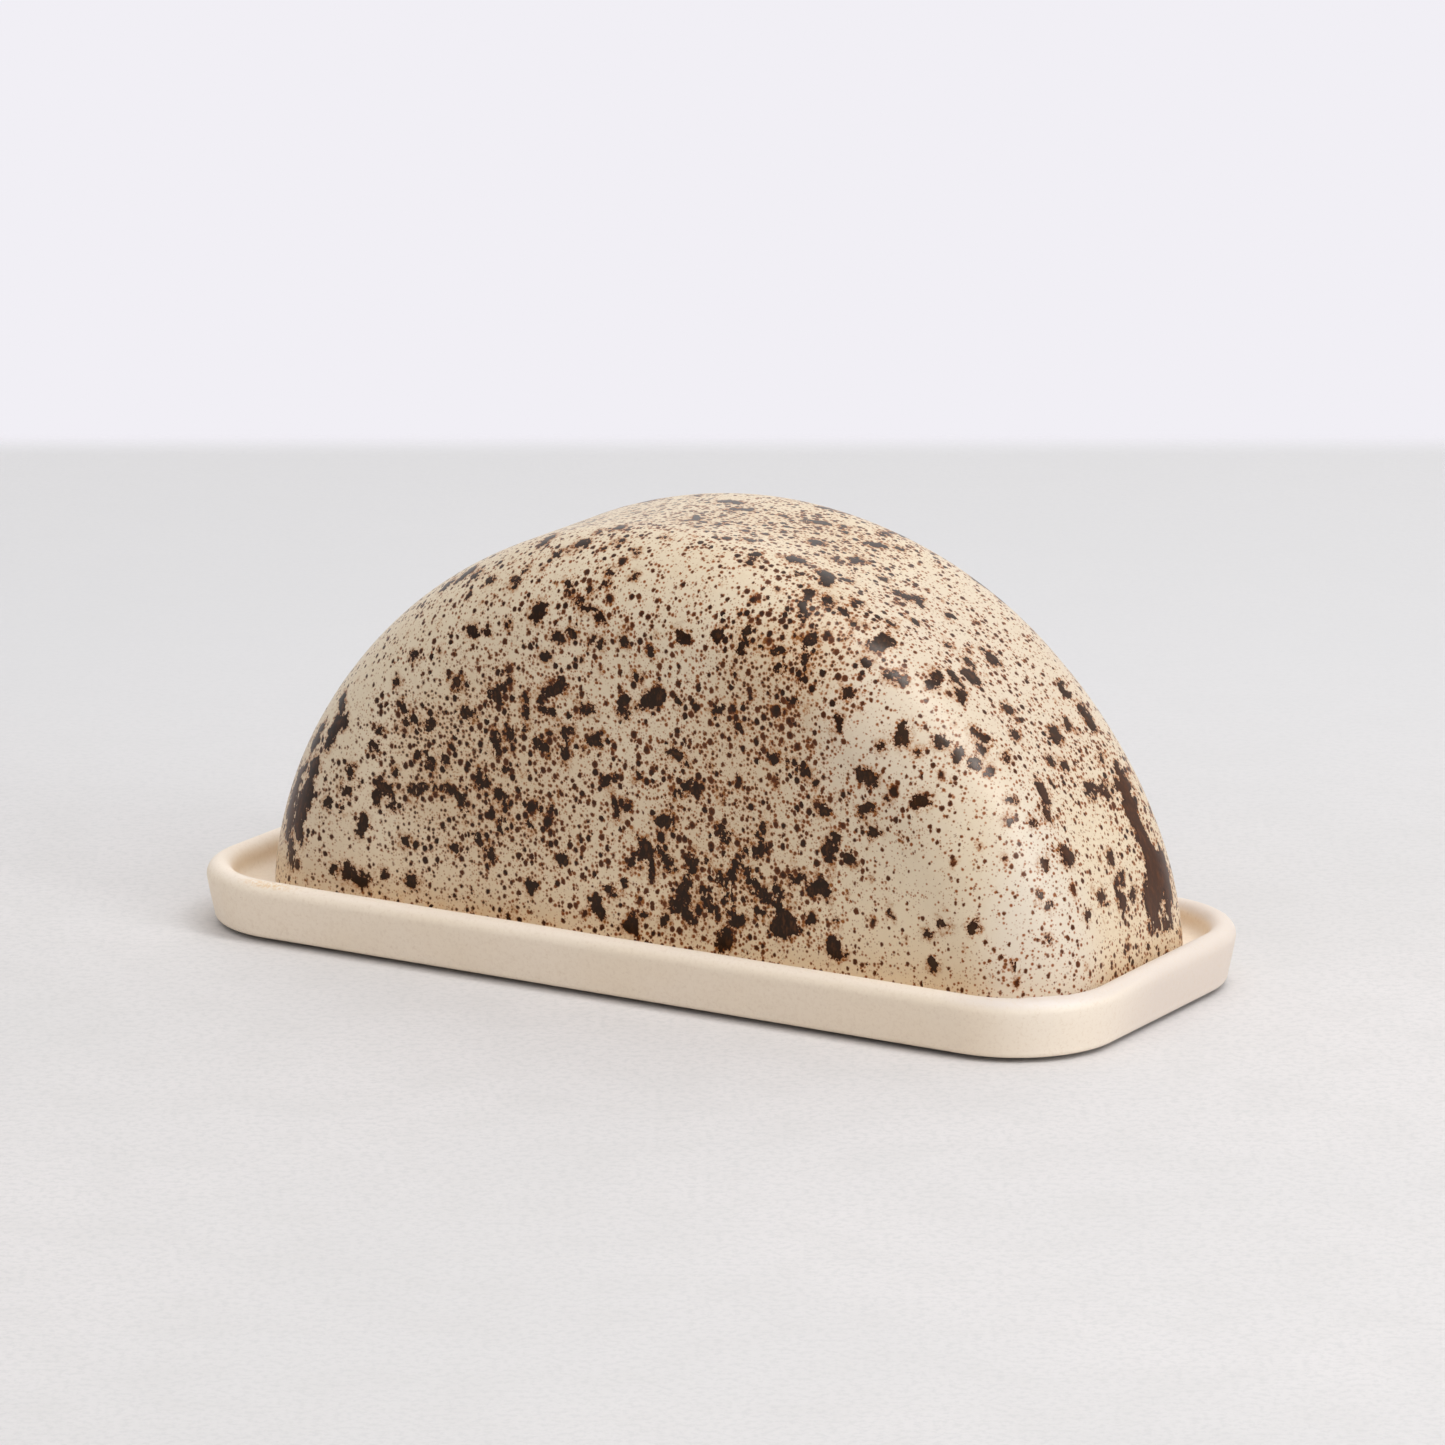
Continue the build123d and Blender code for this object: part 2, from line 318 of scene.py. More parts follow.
# The larger dark patches of the glaze. Each is a stroke through one or more points
# (x, y, z, radius), all in mm: x from the cover's own middle, z from its lip.
PATCHES = [
    [(-52.5, -33, 54.5, 0.9)], [(-41.5, -34.5, 50.5, 1.1)], [(-32, -34.5, 49, 1.3), (-29.5, -34.5, 52.5, 0.6)],
    [(-17, -34.5, 53, 1.6), (-19.5, -34.5, 51.5, 1.4)],
    [(-21.5, -34.5, 49.5, 0.7), (-21, -34.5, 48, 0.6), (-19, -34.5, 47, 0.6)],
    [(-25.5, -34.5, 48.5, 0.7), (-25.5, -34.5, 46.5, 0.7)], [(-25.5, -34.5, 43.5, 0.9)],
    [(-12, -34.5, 48.5, 0.9), (-9.5, -34.5, 49, 0.7)],
    [(-1.5, -34.5, 52.5, 1.1), (-3.5, -34.5, 50.5, 0.7), (-1, -34.5, 49, 0.5)],
    [(6, -34.5, 54.5, 1.6), (3.5, -34.5, 52, 1.4), (1.5, -34.5, 50.5, 0.6)], [(10.5, -34.5, 53, 0.9)],
    [(0.5, -34.5, 57.5, 0.9)], [(-51.5, -34.5, 42.5, 1.3), (-54, -34.5, 40.5, 1.1)],
    [(-47.5, -34.5, 42, 0.7), (-47.5, -34.5, 40.5, 0.7)], [(-39, -34.5, 44.5, 1.5)],
    [(-32.5, -34.5, 40, 1.2), (-31, -34.5, 37, 0.4)], [(-29, -34.5, 41, 1.2)],
    [(-22, -34.5, 40.5, 1.2), (-20.5, -34.5, 39.5, 1.2)], [(-15.5, -34.5, 44, 0.9), (-15.5, -34.5, 42.5, 0.9)],
    [(-16, -34.5, 40, 0.9), (-16, -34.5, 38, 0.7)], [(-9, -34.5, 43, 1.5)],
    [(9, -34.5, 42.5, 1.1), (12, -34.5, 41.5, 0.6)], [(-30, -34.5, 34.5, 0.9)],
    [(-48, -34.5, 34.5, 0.7), (-48, -34.5, 32.5, 0.7)], [(-44.5, -34.5, 34, 1.1)],
    [(-35.5, -34.5, 32.5, 1), (-35.5, -34.5, 30, 1)], [(-31.5, -34.5, 29, 1.1), (-30, -34.5, 26.5, 0.4)],
    [(-52.5, -34.5, 26.5, 1.3), (-49.5, -34.5, 28, 0.7), (-46.5, -34.5, 28.5, 0.9)],
    [(-43.5, -34.5, 28.5, 1), (-39.5, -34.5, 26, 1)], [(-6, -34.5, 35, 1.4), (-4, -34.5, 36.5, 0.7)],
    [(1, -34.5, 37, 0.9)], [(-4, -34.5, 31, 0.9), (-4, -34.5, 28.5, 0.9)], [(-1, -34.5, 30.5, 0.9)],
    [(10.5, -34.5, 34.5, 1)], [(13.5, -34.5, 36, 1.6), (15, -34.5, 37.5, 1)], [(-22.5, -34.5, 27, 1.1)],
    [(-24, -34.5, 23.5, 0.9)], [(-19.5, -34.5, 27, 0.7), (-19.5, -34.5, 25.5, 0.7)], [(-31, -34.5, 22.5, 1.3)],
    [(-37, -34.5, 19, 1.3)], [(-33.5, -34.5, 16.5, 1.3)], [(-42.5, -34.5, 16, 1.1)], [(-54, -34.5, 16, 1)],
    [(-17, -34.5, 17, 1.5)], [(6, -34.5, 28.5, 1.4), (8.5, -34.5, 28.5, 1.2)],
    [(2.5, -34.5, 23, 1.5), (0.5, -34.5, 20, 0.7), (-1, -34.5, 18, 0.5)],
    [(3.5, -34.5, 22, 1), (4, -34.5, 20, 0.7), (4, -34.5, 16.5, 0.9)],
    [(6, -34.5, 22.5, 0.7), (8.5, -34.5, 19, 0.9)], [(-24, -34.5, 11, 1.5)],
    [(-9, -34.5, 9.5, 1.7), (-7.5, -34.5, 7, 0.5)], [(-0.5, -34.5, 5.5, 1.5)], [(-29.5, -34.5, 4, 0.9)],
    [(-2.5, -34.5, 15, 0.9)], [(-5.5, -34.5, 12, 0.9)], [(2, -34.5, 8.5, 0.9)],
    [(-73, -28.5, 42.5, 1.4), (-72, -30.5, 40, 1)],
    [(-70, -32.5, 38.5, 1.3), (-72.5, -31.5, 37.5, 1.6), (-74, -31.5, 35.5, 1.6), (-74.5, -32, 32.5, 0.6)],
    [(-77.5, -31.5, 29, 1.1), (-78, -31.5, 27, 1.8), (-78.5, -32, 25, 1.2), (-79.5, -32.5, 22, 1.9), (-81.5, -31.5, 19, 2.5), (-82, -32.5, 16, 2.4), (-80.5, -33.5, 13, 1.4)],
    [(-84, -32, 10.5, 1.8), (-83.5, -32.5, 7, 1.4)],
    [(-82.5, -29, 26.5, 1.2), (-84, -29, 23, 1.5), (-85.5, -29, 19, 1.7), (-85.5, -30, 15.5, 1.7), (-85.5, -30.5, 12, 1.1)],
    [(-78, -28.5, 35, 1), (-80, -29, 32, 1.3), (-80.5, -29, 29, 0.9)], [(-67.5, -34.5, 29.5, 0.9)],
    [(-69, -34.5, 25, 1.1)], [(-73, -34.5, 21.5, 1.1)], [(-69.5, -34.5, 20.5, 0.8)],
    [(-60, -34.5, 27, 1.6), (-58, -34.5, 26.5, 1.5)], [(-60.5, -34.5, 25, 1), (-61, -34.5, 23.5, 0.6)],
    [(-57.5, -34.5, 25, 1), (-57, -34.5, 23.5, 0.8)], [(-64.5, -34.5, 18.5, 1.6), (-65.5, -34.5, 16, 0.6)],
    [(-60, -34.5, 38, 0.9)], [(-61.5, -34.5, 34.5, 1)], [(-56.5, -33.5, 48.5, 0.9)], [(-54.5, -34.5, 44, 0.9)],
    [(-68.5, -34.5, 8.5, 1), (-67.5, -34.5, 7, 1.2), (-64.5, -34.5, 6.5, 1.4), (-63, -34.5, 6.5, 1)],
    [(-71, -34.5, 7.5, 0.8)], [(-52.5, -34.5, 7.5, 1.4)], [(-59, -34.5, 8, 1)], [(-50.5, -34.5, 34, 0.9)],
    [(-56, -34.5, 30, 0.7)], [(20.5, -34.5, 28.5, 1.3), (21.5, -34.5, 27, 1.1)],
    [(30, -34.5, 30, 1), (29, -34.5, 28, 0.6)], [(28.5, -34.5, 25.5, 1.2), (30.5, -34.5, 26, 0.7)],
    [(25.5, -34.5, 25, 0.7), (24, -34.5, 22, 1), (22.5, -34.5, 19, 0.9), (21.5, -34.5, 16, 1.3), (22, -34.5, 14, 1)],
    [(26, -34.5, 21, 0.7), (27, -34.5, 18.5, 1), (30, -34.5, 16.5, 1.3), (31, -34.5, 15.5, 0.9)],
    [(33.5, -34.5, 18, 1.4), (34, -34.5, 15.5, 0.7), (34.5, -34.5, 12.5, 1.8), (36, -34.5, 10.5, 2)],
    [(33, -34.5, 10.5, 1.8)], [(37, -34.5, 20.5, 1.2), (38.5, -34.5, 22, 0.7)],
    [(43, -34.5, 20, 1.9), (41, -34.5, 19, 1)], [(44, -34.5, 19, 1.2)],
    [(24.5, -34.5, 11, 1.4), (23, -34.5, 10, 1.6)], [(21.5, -34.5, 6.5, 1.8), (21, -34.5, 5, 1.2)],
    [(45, -34.5, 28, 1.4), (44.5, -34.5, 25.5, 0.7)], [(46, -34.5, 30, 1)], [(49.5, -34.5, 27, 1.2)],
    [(55.5, -34.5, 32.5, 1.2)], [(46, -34.5, 8.5, 1.7), (47, -34.5, 7, 1)], [(40.5, -34.5, 13, 1)],
    [(47, -34.5, 13.5, 0.7)], [(58.5, -34.5, 16.5, 0.8)], [(29, -34.5, 12.5, 0.9)], [(19.5, -34.5, 19, 1.2)],
    [(17, -34.5, 22.5, 0.7)],
    [(13.5, -34.5, 21, 1.2), (13.5, -34.5, 18.5, 0.6), (12, -34.5, 15, 1.1), (12, -34.5, 11, 1.4), (13.5, -34.5, 9, 1)],
    [(9.5, -34.5, 11.5, 1.4)], [(16, -34.5, 15, 1.2), (17, -34.5, 13, 1.2), (19, -34.5, 11.5, 1.2)],
    [(7.5, -34.5, 8.5, 0.9)], [(-30.5, -30, 71.5, 1.5)], [(-29, -28.5, 74, 0.9)], [(-16.5, -31.5, 73.5, 1.2)],
    [(-2, -30.5, 76.5, 1.1)], [(-22, -33.5, 68.5, 1.2), (-23, -34, 66.5, 1.2)], [(-12, -32.5, 72.5, 1)],
    [(-13.5, -33, 70.5, 1)], [(-8, -34.5, 67.5, 1.1)], [(-12, -34, 69, 0.8), (-10, -34, 69.5, 0.8)],
    [(-8.5, -31.5, 74.5, 0.8)], [(-8, -30, 76.5, 0.9)], [(-38.5, -33.5, 61.5, 1.1), (-37.5, -34, 61, 1)],
    [(-35, -34, 62, 0.8)], [(-30, -34, 64, 0.8)], [(-17.5, -34.5, 63, 1)], [(-14.5, -34.5, 64.5, 1)],
    [(-10, -34.5, 63, 0.8)], [(-7.5, -34.5, 63, 0.8)], [(4, -34.5, 62.5, 1)], [(-2, -34.5, 64, 0.9)],
    [(11.5, -34.5, 66.5, 1.2), (10, -34, 67.5, 0.7)], [(19.5, -34, 67.5, 1.5)], [(-20.5, -34.5, 58.5, 1)],
    [(-19.5, -24.5, 79.5, 1.3), (-18, -24, 80, 1.3)], [(-29.5, -21.5, 78, 1.2), (-28, -19, 79.5, 1.3)],
    [(-23, -26, 78, 1.2)], [(-16.5, -20.5, 82, 1.1)], [(-14, -19.5, 82.5, 1), (-13, -17.5, 83, 1.1)],
    [(-9.5, -24, 81.5, 1.1)], [(-4.5, -26.5, 80.5, 1)], [(-0.5, -21.5, 83, 1)],
    [(-3, -10, 84, 1.1), (-1, -8, 84, 1.1)], [(-47.5, -23.5, 69.5, 1.3), (-45.5, -22, 71, 1.3)],
    [(-42.5, -25.5, 71, 1.3)], [(-37.5, -28.5, 71, 1)], [(-51, -23.5, 67.5, 1.3)],
    [(38, -30, 68.5, 1.5), (39, -31, 66.5, 0.9), (38, -32.5, 64.5, 0.7), (38.5, -33.5, 62, 0.8)],
    [(25, -32.5, 69.5, 0.8), (24.5, -33.5, 67.5, 0.7), (24, -34, 66, 1)], [(23.5, -34.5, 61, 0.8)],
    [(32.5, -33, 66, 0.8)], [(33.5, -34, 62.5, 0.9)], [(28.5, -33, 67, 0.8)],
    [(34, -23.5, 76, 1.3), (34.5, -26, 74, 1), (35, -28, 72.5, 1.1)], [(38, -23, 74.5, 1.2)],
    [(40.5, -22.5, 73.5, 1), (42, -23, 72.5, 0.8)], [(42, -18.5, 74, 0.8)], [(44, -24, 71, 0.8)],
    [(44.5, -26.5, 69, 0.7)], [(49.5, -24.5, 67.5, 1.4), (51, -22, 68, 1.3)], [(49.5, -27.5, 65, 1)],
    [(43, -6, 74, 0.9), (45, -5, 73, 1.4), (47, -2.5, 72, 0.6), (48, -3.5, 71, 0.5)],
    [(54.5, -26.5, 62.5, 1), (56.5, -26, 61.5, 0.8)], [(60.5, -19.5, 62, 1.2), (61, -22, 60.5, 0.9)],
    [(62, -16.5, 61.5, 0.7), (63, -16.5, 60.5, 1)], [(63, -11, 60.5, 1.7), (64, -10.5, 60, 1.3)],
    [(61, -7.5, 62.5, 1.1)], [(62, 0, 61.5, 1.7)], [(65, -18.5, 58.5, 1.2)], [(50.5, -10.5, 69.5, 1.1)],
    [(49, -18, 70.5, 1)], [(52.5, 0.5, 68.5, 1.1)], [(57, -9, 65.5, 1)],
    [(32, -4, 78.5, 1.1), (33, -1.5, 78.5, 1.1)], [(25.5, -16.5, 80.5, 1), (26.5, -15, 80.5, 1.8)],
    [(29.5, -20, 79, 1.1)], [(33, -15.5, 78.5, 1.7), (35, -18.5, 77, 1.2)], [(36.5, -13, 77, 1.4)],
    [(39.5, -4, 75.5, 1.2)], [(30.5, -7.5, 79, 1.1)], [(29.5, 8, 79.5, 1.3), (31, 10, 79, 1.3)],
    [(33.5, 13, 78, 1.1)], [(16.5, 6.5, 82.5, 1.6), (18.5, 8.5, 82, 1.6)], [(22, 10.5, 81.5, 1.3)],
    [(23, -4, 81.5, 1.2), (24.5, -2, 81, 1.2)], [(28.5, 16.5, 79.5, 1.3)],
    [(-5, 8.5, 84, 1.3), (-1, 9, 84, 1.4)], [(1, 3.5, 84, 1.3), (3.5, 4.5, 84, 1.3)], [(15, -14.5, 83, 1.4)],
    [(19.5, -20, 81.5, 1.1)], [(20, -22.5, 80.5, 1.1)], [(5, -9, 84, 1.3)], [(37, -34.5, 57, 1)],
    [(47.5, -32.5, 59.5, 0.9)], [(47, -34, 55, 0.9), (46.5, -34.5, 52, 0.8)],
    [(59, -30.5, 54, 0.8), (59.5, -31.5, 51.5, 1.3)], [(63, -31, 49.5, 0.8)], [(56, -33.5, 50.5, 0.7)],
    [(19, -34.5, 53, 1.1)], [(24.5, -34.5, 50, 1.3)], [(32.5, -34.5, 44.5, 1.1)],
    [(39.5, -34.5, 43, 1.3), (36.5, -34.5, 44, 0.8)], [(52.5, -34.5, 44, 1.6), (54.5, -34.5, 43.5, 1.4)],
    [(66.5, -28, 51, 1.1)], [(69.5, -27, 49, 1.1)], [(72.5, -25.5, 47, 1.1)], [(75, -24, 45.5, 0.8)],
    [(72.5, -23, 49, 0.9)], [(70.5, -21.5, 52, 0.9), (72, -21, 50.5, 1.1)], [(64.5, -33.5, 39.5, 1.5)],
    [(58.5, -34.5, 40, 0.7)], [(54, -34.5, 38, 0.9), (52.5, -34.5, 36.5, 0.8)], [(44, -34.5, 36, 1.3)],
    [(70.5, -8, 54, 1.2)], [(74, -11.5, 50, 1.2)], [(76, -19, 47, 1)], [(78.5, -6, 44.5, 1.2)],
    [(79.5, -2, 42.5, 1.2)], [(76, 1, 47.5, 1.7)], [(75.5, 7, 48, 1.3)],
    [(74.5, 15.5, 49.5, 1.6), (75.5, 15, 47.5, 1.5), (77, 15, 46.5, 1.5)],
    [(70, 14.5, 54, 1.2), (71.5, 14.5, 52.5, 1.2)], [(81, -14, 40.5, 1.6), (82, -14, 39, 1.3)],
    [(83, -16, 37.5, 0.9), (84, -16.5, 35.5, 1.1)], [(83.5, -20.5, 35.5, 0.7)], [(83, 1, 37.5, 0.8)],
    [(83.5, 3, 36.5, 0.9)], [(84, 5.5, 36, 0.9)], [(84.5, 7.5, 35, 1)], [(83.5, 8, 37, 0.7)],
    [(88, -15.5, 28, 1.8)], [(86.5, -22, 28, 0.9)], [(79.5, -23, 40, 0.8)], [(87.5, -25.5, 22, 0.8)],
    [(89, -24, 20, 0.8)], [(91, 1, 20.5, 1), (92, -1, 19, 1.2), (93, -1.5, 15, 1.4)],
    [(92.5, 3.5, 17, 1.1), (92.5, 3, 15.5, 1.1)], [(91.5, -7.5, 19.5, 1), (92, -8.5, 18, 1)],
    [(92.5, -15, 17, 1.2)], [(89.5, -1, 25, 1.2)], [(71, -34.5, 16, 1.1)], [(77, -34, 16.5, 1.3)],
    [(67.5, -34.5, 14, 0.8)], [(68.5, -34.5, 7.5, 1.1)], [(85.5, -31.5, 9, 0.9)], [(89.5, -26, 14, 0.7)],
    [(82, 16, 39, 0.5), (83, 15.5, 37.5, 1.2), (84, 14.5, 35.5, 2), (86, 13.5, 32.5, 2.1), (87.5, 13, 29.5, 2), (89, 13, 26.5, 2), (90, 13.5, 24, 2.2), (91, 14.5, 21, 2.7), (92, 14, 18, 3.3), (92.5, 12.5, 16, 3.4), (93, 10, 13.5, 2.7), (94, 9, 10.5, 2.4)],
    [(91, 18, 19.5, 2.2), (92.5, 17, 15.5, 2.1), (93.5, 17, 12, 1.8), (94.5, 16, 8.5, 1.8)],
    [(94, 9, 10.5, 2.1), (94.5, 14, 8, 1.4)], [(93, 12.5, 14, 1.7), (94, 12, 10, 1.4)],
    [(84, 0.5, 36, 0.9), (83, 3, 37.5, 1)], [(80, -25.5, 36, 0.7)], [(80.5, 11.5, 41, 0.8)],
]


def patch_field(V):
    """Signed distance (mm) to the nearest dark patch, negative inside."""
    d = np.full(len(V), 9.0)
    r = np.random.RandomState(21)
    wander = np.stack([lattice_noise(V / 3.1, 61 + k) for k in range(3)], 1) * [0.7, 0.7, 0.6]
    V = V + wander + np.stack([lattice_noise(V / 1.25, 71 + k) for k in range(3)], 1) * [0.4, 0.4, 0.35]
    strokes = []
    for stroke in PATCHES:
        strokes.append(np.array(stroke, float))
    # the far side carries the same hand's spots: the strokes again, turned half round
    for stroke in PATCHES:
        q = np.array(stroke, float) * [-1, -1, 1, 1]
        if q[:, 1].mean() > 9 or (q[:, 0].mean() < -78 and q[:, 1].mean() > -12):
            strokes.append(q)
    for q in strokes:
        rad = np.maximum(q[:, 3] * np.interp(q[:, 2].mean(), [66, 78], [1.0, 0.72]), 0.72) + 0.06
        caps = []
        if len(q) == 1:
            caps.append((q[0, :3], q[0, :3], rad[0], rad[0]))
        for k in range(len(q) - 1):
            caps.append((q[k, :3], q[k + 1, :3], rad[k], rad[k + 1]))
        # ragged lobes round the bigger ones
        for k in range(len(q)):
            if rad[k] > 0.95:
                for _ in range(3):
                    off = r.randn(3)
                    off *= rad[k] * (0.75 + 0.45 * r.rand()) / np.linalg.norm(off)
                    c = q[k, :3] + off
                    w = rad[k] * (0.28 + 0.30 * r.rand())
                    caps.append((c, c, w, w))
        reach = 6.0 + rad.max()
        lo, hi = q[:, :3].min(0) - reach, q[:, :3].max(0) + reach
        near = np.where(((V > lo) & (V < hi)).all(1))[0]
        if not len(near):
            continue
        W = V[near]
        best = np.full(len(near), 9.0)
        for p0, p1, r0, r1 in caps:
            ax = p1 - p0
            t = np.clip(((W - p0) * ax).sum(1) / max((ax * ax).sum(), 1e-9), 0, 1)
            dd = np.linalg.norm(W - p0 - t[:, None] * ax, axis=1) - (r0 + (r1 - r0) * t)
            best = np.minimum(best, dd)
        d[near] = np.minimum(d[near], best)
    return d


# Where the sprayed speckle is thinner (negative) or thicker (positive):
# x, y, z, reach, strength.
CLOUDS = [
    (-17, -35, 50, 11, 0.5),
    (-36, -35, 29, 12, 0.9),
    (-5, -35, 27, 12, 0.5),
    (19, -35, 16, 9, 1.1),
    (36, -35, 16, 7, 0.6),
    (-48, -35, 38, 10, 0.8),
    (-70, -34, 27, 8, 0.5),
    (-8, -34, 70, 12, 0.1),
    (-17, -35, 9, 9, 0.2),
    (33, -33, 64, 10, 0.35),
    (41, -19, 75, 10, 0.3),
    (47, -4, 72, 9, -0.15),
    (65, -18, 59, 12, -0.2),
    (60, -33, 48, 10, 0.05),
    (76, -5, 48, 10, 0.25),
    (85, 4, 35, 8, 0.3),
    (32, -35, 58, 12, 1.15),
    (-73, -32, 36, 8, -0.2),
    (59, -31, 52, 8, -0.3),
    (-10, -35, 65, 14, 0.2),
    (91, 0, 20, 9, 0.1),
    (13, -35, 38, 12, 0.5),
    (45, -35, 28, 9, 0.3),
    (29, 9, 80, 12, 0.2),
    (74, -34, 24, 11, -0.8),
    (61, -35, 11, 10, -0.6),
    (90, -27, 10, 9, -0.5),
    (78, -25, 40, 7, -0.6),
    (87, -4, 31, 7, -0.6),
    (66, -35, 25, 8, -0.6),
    (1, -29, 78, 7, -0.7),
    (-66, -28, 51, 8, -0.6),
    (-41, -30, 67, 9, -0.2),
    (8, 2, 84, 12, 0.45),
    (-7, -20, 83, 10, 0.3),
    (33, -2, 78, 9, 0.25),
    (-67, -35, 13, 4, -0.8),
    (23, -28, 76, 6, -0.7),
    (51, -33, 55, 6, -0.6),
    (16, -35, 62, 5, -0.4),
    (52, 21, 68, 8, -0.5),
    (-17, -35, 1, 7, -0.7),
    (43, -35, 1, 7, -0.8),
    (46, -5, 72, 8, -0.4),
    (66, -1, 58, 8, -0.45),
    (59, -32, 51, 7, -0.45),
    (93, -9, 16, 7, -0.5),
    (-69, -33, 37, 7, -0.4),
    (30, -33, 68, 6, 0.35),
    (-10, -34, 67, 8, -0.3),
    (50, -35, 20, 8, -0.2),
    (94, -8, 12, 6, -0.3),
]


def density_field(V):
    d = 0.25 * lattice_noise(V / 17.0, 31)
    back = [(-x, -y, z, reach, k * 0.8) for x, y, z, reach, k in CLOUDS if y < -20]
    for x, y, z, reach, k in CLOUDS + back:
        q = ((V - [x, y, z]) ** 2).sum(1)
        d += k * np.exp(-q / (2 * reach * reach))
    return np.clip(d, -1.2, 1.3)


bld, V, Nm, n_outer, lip_end = build_cover()
local = V.copy()
outside = np.zeros(len(V))
outside[:lip_end] = 1.0
blot = patch_field(local)
dens = density_field(local)
# hand-made surface: a slow unevenness and slightly proud dark patches
slow = lattice_noise(local / 23.0, 3) * 0.6 + lattice_noise(local / 9.0, 4) * 0.25
keep = smoothstep(0.5, 9.0, local[:, 2]) * outside
proud = smoothstep(0.4, -0.8, blot) * 0.03
push = (slow * 0.15 - 0.20 + proud) * keep
faces = bld.outward(V, Nm)
V = V + Nm * push[:, None]
V[:, 0] += CX
V[:, 2] += SEAT_Z
cover = make_mesh("cover_shell", V, faces, {"blot": blot, "dens": dens, "outside": outside})


# --------------------------------------------------------------------------
# Tray
# --------------------------------------------------------------------------
def round_rect(length, width, r, nl, nw, nc):
    """Closed loop, anticlockwise from the middle of the -X -Y corner, with plan normals."""
    cx, cy = length / 2 - r, width / 2 - r
    pts, nrm = [], []

    def arc(sx, sy, a0, a1, n, ends=False):
        for k in range(n):
            t = math.radians(a0 + (a1 - a0) * k / n)
            nn = (math.cos(t), math.sin(t))
            pts.append((sx * cx + r * nn[0], sy * cy + r * nn[1]))
            nrm.append(nn)

    def run(p, q, nn, n):
        for k in range(n):
            t = k / n
            pts.append((p[0] + (q[0] - p[0]) * t, p[1] + (q[1] - p[1]) * t))
            nrm.append(nn)

    h = nc // 2
    arc(-1, -1, 225, 270, h)
    run((-cx, -width / 2), (cx, -width / 2), (0, -1), nl)
    arc(1, -1, 270, 360, nc)
    run((length / 2, -cy), (length / 2, cy), (1, 0), nw)
    arc(1, 1, 0, 90, nc)
    run((cx, width / 2), (-cx, width / 2), (0, 1), nl)
    arc(-1, 1, 90, 180, nc)
    run((-length / 2, cy), (-length / 2, -cy), (-1, 0), nw)
    arc(-1, -1, 180, 225, h)
    return np.array(pts), np.array(nrm)


def build_tray():
    bld = Builder()
    NL, NW, NC = 84, 24, 20
    R = 23.5
    P, N2 = round_rect(TL, TW, R, NL, NW, NC)
    r, t = 2.8, 5.6
    zc = RIM_Z - r
    lean, heel, gap = 1.5, 1.4, 0.9
    cove = 2.2
    prof = []                       # (inset, z, outward, up), from the floor round to the underside
    band = 16.0
    for u in (band, 13.5, 11.2, 9.3):
        prof.append((u, SEAT_Z, 0, 1))
    for k in range(0, 7):
        a = math.pi / 2 * k / 6
        prof.append((t + cove - cove * math.sin(a), SEAT_Z + cove - cove * math.cos(a), -math.sin(a), math.cos(a)))
    for k in range(0, 17):
        a = math.pi * k / 16
        prof.append((r + r * math.cos(a), zc + r * math.sin(a), -math.cos(a), math.sin(a)))
    wall = [(0.0, zc), (lean, gap + heel)]
    for k in range(1, 6):
        q = k / 6
        prof.append((lean * q ** 1.15, zc + (gap + heel - zc) * q, 0.977, -0.208))
    for k in range(0, 8):
        a = math.pi / 2 * k / 7
        prof.append((lean + heel - heel * math.cos(a), gap + heel - heel * math.sin(a), math.cos(a), -math.sin(a)))
    prof += [
        (4.2, gap, 0, -1), (5.6, gap, 0, -1), (6.15, gap - 0.04, 0.2, -0.98), (6.5, 0.52, 0.6, -0.8), (6.8, 0.13, 0.5, -0.86), (7.2, 0.0, 0, -1),
        (8.2, 0.0, 0, -1), (9.4, 0.0, 0, -1), (10.6, 0.0, 0, -1), (11.1, 0.15, -0.6, -0.8), (11.6, 0.55, -0.6, -0.8),
        (12.1, 0.9, -0.4, -0.9), (12.8, 1.0, 0, -1), (14.2, 1.0, 0, -1), (band, 1.0, 0, -1),
    ]
    rings = []
    for u, z, out, up in prof:
        pts = np.column_stack([P - N2 * u, np.full(len(P), z)])
        nrm = np.column_stack([N2 * out, np.full(len(P), float(up))])
        nrm /= np.linalg.norm(nrm, axis=1)[:, None]
        rings.append(bld.add(pts, nrm))
    rings = np.array(rings)
    closed = np.concatenate([rings, rings[:, :1]], axis=1)
    bld.grid(closed, False)
    # fill the floor and the underside inside the band
    h = NC // 2
    n_long, n_short = NL + NC, NW + NC
    V, _ = bld.arrays()
    for ring, up in ((rings[0], 1.0), (rings[-1], -1.0)):
        p = V[ring][:, :2]
        z = V[ring][0, 2]
        loop = np.append(ring, ring[0])
        s0 = loop[: n_long + 1]
        s1 = loop[n_long : n_long + n_short + 1]
        s2 = loop[n_long + n_short : 2 * n_long + n_short + 1][::-1]
        s3 = loop[2 * n_long + n_short :][::-1]
        VV = V[:, :2]
        g = coons(VV[s3], VV[s2], VV[s1], VV[s0], 60)
        idx = np.zeros((n_short + 1, n_long + 1), np.int64)
        idx[0], idx[-1] = s0, s2
        idx[:, 0], idx[:, -1] = s3, s1
        q = g[1:-1, 1:-1].reshape(-1, 2)
        pts = np.column_stack([q, np.full(len(q), z)])
        new = bld.add(pts, np.tile([0, 0, up], (len(q), 1)))
        idx[1:-1, 1:-1] = new.reshape(n_short - 1, n_long - 1)
        bld.grid(idx, up > 0)
    V, Nm = bld.arrays()
    return bld, V, Nm


